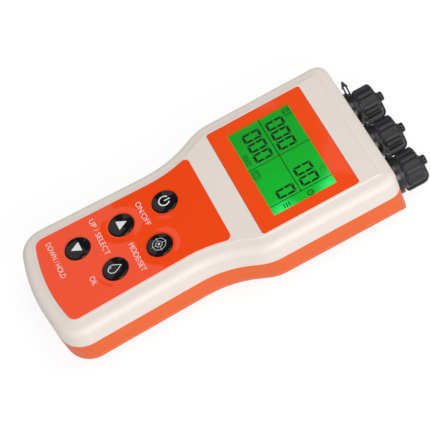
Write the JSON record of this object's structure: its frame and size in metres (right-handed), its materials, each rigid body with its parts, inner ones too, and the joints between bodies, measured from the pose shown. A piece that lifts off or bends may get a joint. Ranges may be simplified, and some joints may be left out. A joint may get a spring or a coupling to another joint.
{
  "type": "handheld water quality meter",
  "caption": "Handheld water quality meter with a waisted case, lit segment display, round keys, capped probe sockets on one end and a tilt-out battery cover.",
  "frame": {"origin": "centre of the flat back that the meter lies on, halfway along the case", "axes": "+Y along the case towards the probe sockets, +Z out of the display face, +X to the right seen from the front"},
  "size_m": [0.1, 0.2265, 0.0362],
  "materials": {
    "shell_light": "moulded ABS, fine satin",
    "shell_colour": "moulded ABS, satin orange",
    "overlay_colour": "printed gloss sheet",
    "rubber_black": "moulded rubber",
    "plastic_black": "gloss black",
    "cover_colour": "moulded ABS, satin orange",
    "foam": "soft foam",
    "clear": "clear acrylic",
    "screen": "lit green display glass",
    "light_guide": "light guide",
    "contact_rubber": "layered contact rubber",
    "board": "glass-fibre board",
    "steel": "plated steel",
    "nickel": "plated brass",
    "insert": "nylon insert with pins",
    "cell": "sleeved cell"
  },
  "bodies": {
    "case": {"front_shell": "shell_light", "back_shell": "shell_colour", "keypad_overlay": "overlay_colour", "display_frame": "overlay_colour", "seam_gasket": "rubber_black", "socket_seal_1": "rubber_black", "socket_seal_2": "rubber_black", "socket_seal_3": "rubber_black", "tether_1": "rubber_black", "tether_2": "rubber_black", "tether_3": "rubber_black", "switch_power": "plastic_black", "switch_target": "plastic_black", "switch_up": "plastic_black", "switch_drop": "plastic_black", "switch_down": "plastic_black", "socket_shell_1": "plastic_black", "socket_shell_2": "plastic_black", "socket_shell_3": "plastic_black", "board_chips": "plastic_black", "buzzer": "plastic_black", "socket_header": "plastic_black", "display_holder": "plastic_black", "display_lens": "clear", "display_glass": "screen", "backlight": "light_guide", "contact_strip_lower": "contact_rubber", "contact_strip_upper": "contact_rubber", "main_board": "board", "board_screws": "steel", "case_screws": "steel", "battery_plates": "steel", "battery_springs": "steel", "socket_nut_1": "nickel", "socket_nut_2": "nickel", "socket_nut_3": "nickel", "socket_insert_1": "insert", "socket_insert_2": "insert", "socket_insert_3": "insert", "battery_cell_1": "cell", "battery_cell_2": "cell", "battery_cell_3": "cell", "battery_cell_4": "cell"},
    "power_key": {"key_power": "plastic_black"},
    "target_key": {"key_target": "plastic_black"},
    "up_key": {"key_up": "plastic_black"},
    "drop_key": {"key_drop": "plastic_black"},
    "down_key": {"key_down": "plastic_black"},
    "battery_door": {"battery_cover": "cover_colour", "cover_pad": "foam"},
    "cap_carrier_1": {"cap_button_1": "plastic_black"},
    "cap_1": {"dust_cap_1": "rubber_black", "cap_seal_1": "rubber_black"},
    "cap_carrier_2": {"cap_button_2": "plastic_black"},
    "cap_2": {"dust_cap_2": "rubber_black", "cap_seal_2": "rubber_black"},
    "cap_carrier_3": {"cap_button_3": "plastic_black"},
    "cap_3": {"dust_cap_3": "rubber_black", "cap_seal_3": "rubber_black"}
  },
  "joints": [
    {"name": "power_press", "type": "slide", "parent": "case", "child": "power_key", "axis": [0, 0, -1], "range_m": [0, 0.0006], "stiffness_N_per_m": 2000},
    {"name": "target_press", "type": "slide", "parent": "case", "child": "target_key", "axis": [0, 0, -1], "range_m": [0, 0.0006], "stiffness_N_per_m": 2000},
    {"name": "up_press", "type": "slide", "parent": "case", "child": "up_key", "axis": [0, 0, -1], "range_m": [0, 0.0006], "stiffness_N_per_m": 2000},
    {"name": "drop_press", "type": "slide", "parent": "case", "child": "drop_key", "axis": [0, 0, -1], "range_m": [0, 0.0006], "stiffness_N_per_m": 2000},
    {"name": "down_press", "type": "slide", "parent": "case", "child": "down_key", "axis": [0, 0, -1], "range_m": [0, 0.0006], "stiffness_N_per_m": 2000},
    {"name": "battery_door_tilt", "type": "hinge", "parent": "case", "child": "battery_door", "pos_m": [0, -0.03095, 0], "axis": [1, 0, 0], "range_deg": [0, 75]},
    {"name": "cap_rise_1", "type": "slide", "parent": "case", "child": "cap_carrier_1", "axis": [0, 1, 0], "range_m": [0, 0.007], "deforming": ["tether_1"]},
    {"name": "cap_turn_1", "type": "hinge", "parent": "cap_carrier_1", "child": "cap_1", "pos_m": [-0.0238, 0.11, 0.012], "axis": [0, 1, 0], "range_deg": [0, 720]},
    {"name": "cap_rise_2", "type": "slide", "parent": "case", "child": "cap_carrier_2", "axis": [0, 1, 0], "range_m": [0, 0.007], "deforming": ["tether_2"]},
    {"name": "cap_turn_2", "type": "hinge", "parent": "cap_carrier_2", "child": "cap_2", "pos_m": [0.0032, 0.11, 0.012], "axis": [0, 1, 0], "range_deg": [0, 720]},
    {"name": "cap_rise_3", "type": "slide", "parent": "case", "child": "cap_carrier_3", "axis": [0, 1, 0], "range_m": [0, 0.007], "deforming": ["tether_3"]},
    {"name": "cap_turn_3", "type": "hinge", "parent": "cap_carrier_3", "child": "cap_3", "pos_m": [0.0302, 0.11, 0.012], "axis": [0, 1, 0], "range_deg": [0, 720]}
  ],
  "couplings": [
    {"joint": "cap_rise_1", "follows": "cap_turn_1", "m_per_rad": 0.00055704},
    {"joint": "cap_rise_2", "follows": "cap_turn_2", "m_per_rad": 0.00055704},
    {"joint": "cap_rise_3", "follows": "cap_turn_3", "m_per_rad": 0.00055704}
  ]
}
